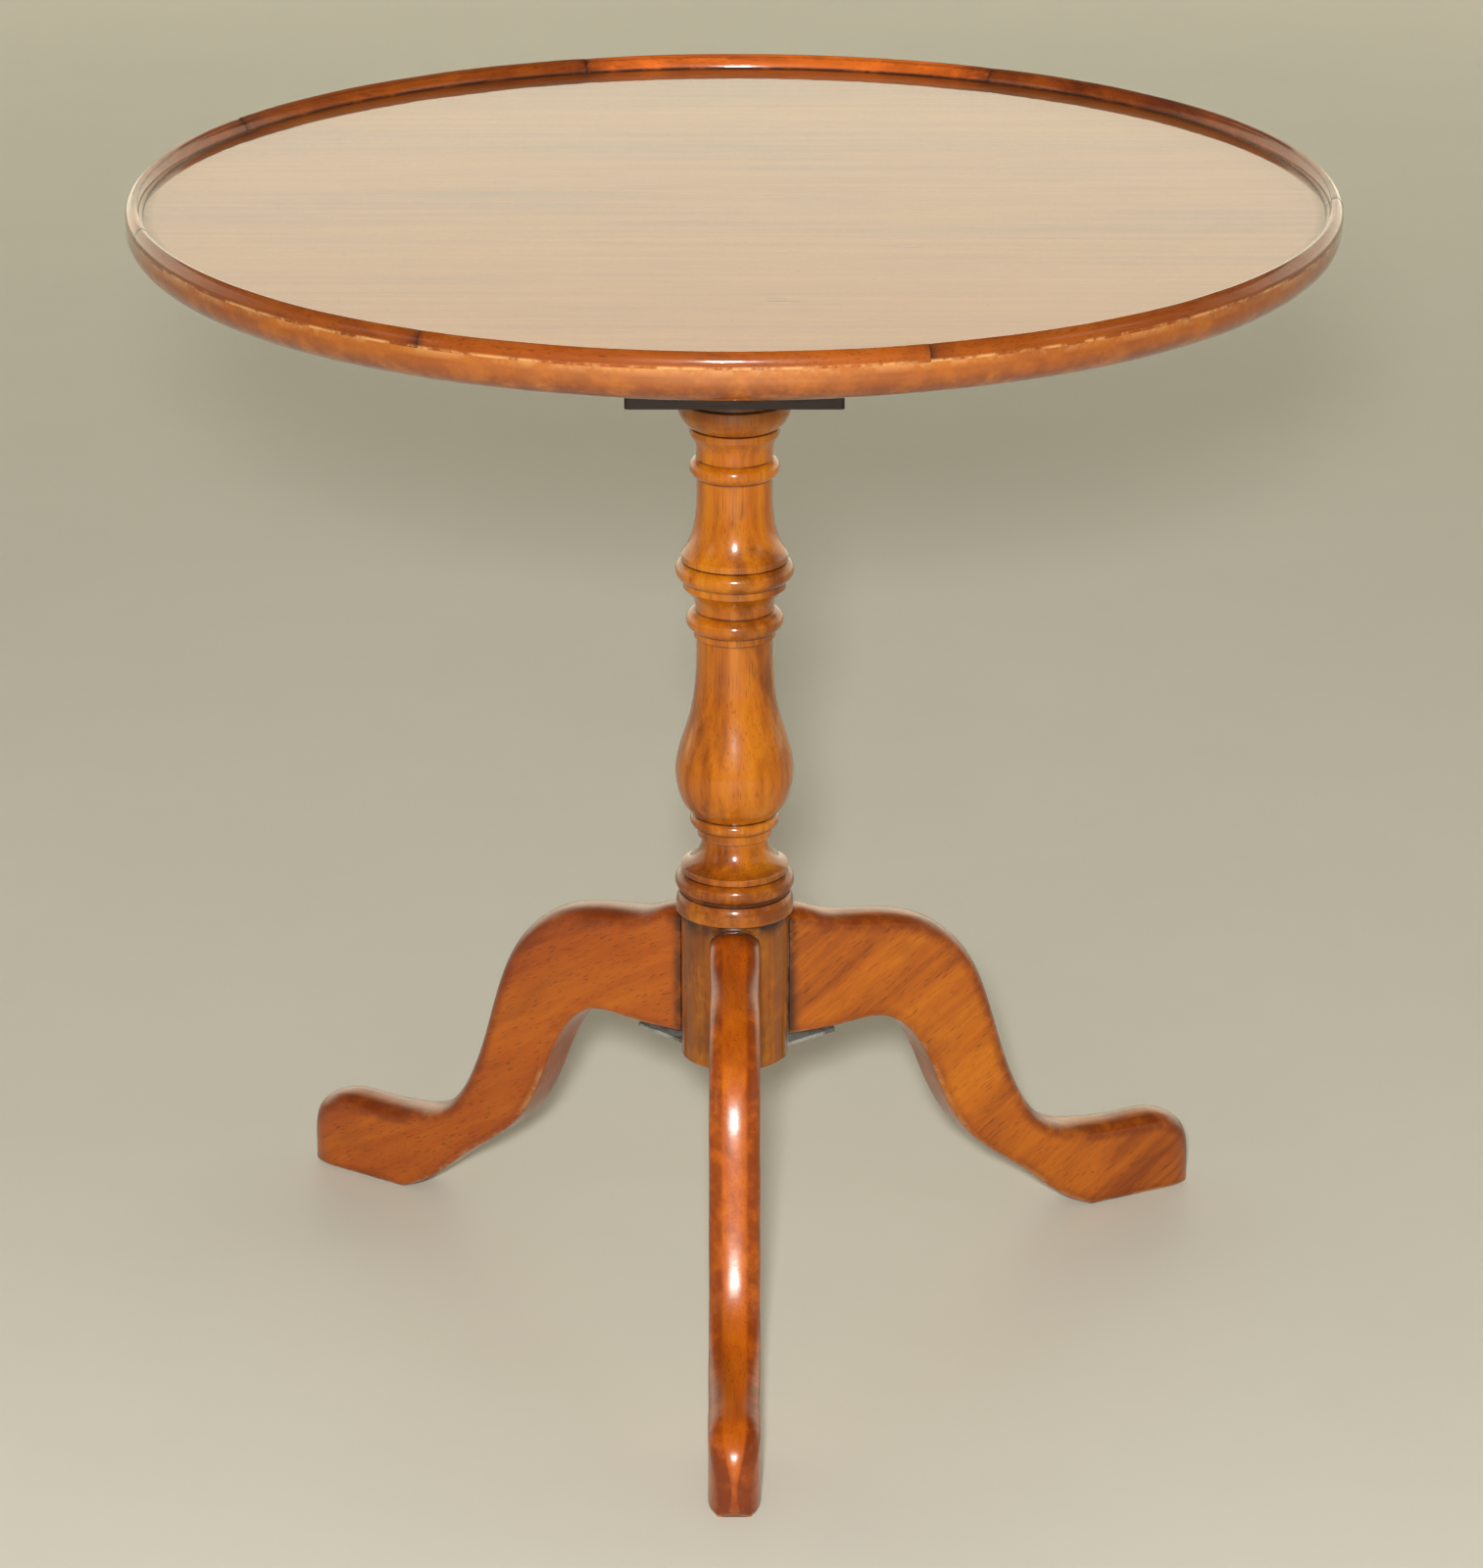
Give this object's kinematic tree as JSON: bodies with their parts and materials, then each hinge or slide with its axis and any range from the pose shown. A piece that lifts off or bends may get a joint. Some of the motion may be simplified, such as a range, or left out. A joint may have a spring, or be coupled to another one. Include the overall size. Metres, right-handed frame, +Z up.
{
  "type": "tilt top table",
  "caption": "Round dished tilt-top tripod table on a turned column with cabriole legs; the top tips up and turns on a birdcage.",
  "frame": {"origin": "on the floor, on the column's axis", "axes": "+Z up along the column; the front leg points along -Y; +X to the right; the top tips about an axis along X, front edge up"},
  "size_m": [0.7405, 0.7406, 0.7316],
  "materials": {
    "top_wood": "polished",
    "rim_wood": "polished",
    "column_wood": "polished",
    "leg_wood": "polished",
    "block_wood": "satin",
    "cleat_wood": "satin",
    "pin_wood": "satin",
    "strap_iron": "satin",
    "screw_steel": "satin",
    "old_brass": "satin",
    "bolt_steel": "satin"
  },
  "bodies": {
    "base": {"column": "column_wood", "leg_front": "leg_wood", "leg_right": "leg_wood", "leg_left": "leg_wood", "bracket_front": "strap_iron", "bracket_right": "strap_iron", "bracket_left": "strap_iron", "bracket_screws": "screw_steel", "cage_collar": "cleat_wood", "wedge": "pin_wood"},
    "cage": {"lower_plate": "block_wood", "upper_plate": "block_wood", "baluster_1": "block_wood", "baluster_2": "block_wood", "baluster_3": "block_wood", "baluster_4": "block_wood", "pivot_pins": "pin_wood", "strike_plate": "old_brass", "strike_screws": "old_brass"},
    "top": {"board": "top_wood", "rim_segment_1": "rim_wood", "rim_segment_2": "rim_wood", "rim_segment_3": "rim_wood", "rim_segment_4": "rim_wood", "rim_segment_5": "rim_wood", "rim_segment_6": "rim_wood", "rim_segment_7": "rim_wood", "bearer_left": "cleat_wood", "bearer_right": "cleat_wood", "bearer_screws": "screw_steel", "catch_case": "old_brass", "catch_screws": "old_brass", "catch_spring": "bolt_steel"},
    "catch": {"catch_bolt": "bolt_steel", "catch_knob": "old_brass"}
  },
  "joints": [
    {"name": "cage_swivel", "type": "hinge", "parent": "base", "child": "cage", "pos_m": [0, 0, 0.65], "axis": [0, 0, 1], "continuous": true},
    {"name": "top_tilt", "type": "hinge", "parent": "cage", "child": "top", "pos_m": [0, 0.056, 0.6885], "axis": [-1, 0, 0], "range_deg": [0, 90]},
    {"name": "catch_draw", "type": "slide", "parent": "top", "child": "catch", "axis": [0, -1, 0], "range_m": [0, 0.0095], "stiffness_N_per_m": 600, "springref_m": -0.004, "deforming": ["catch_spring"]}
  ]
}
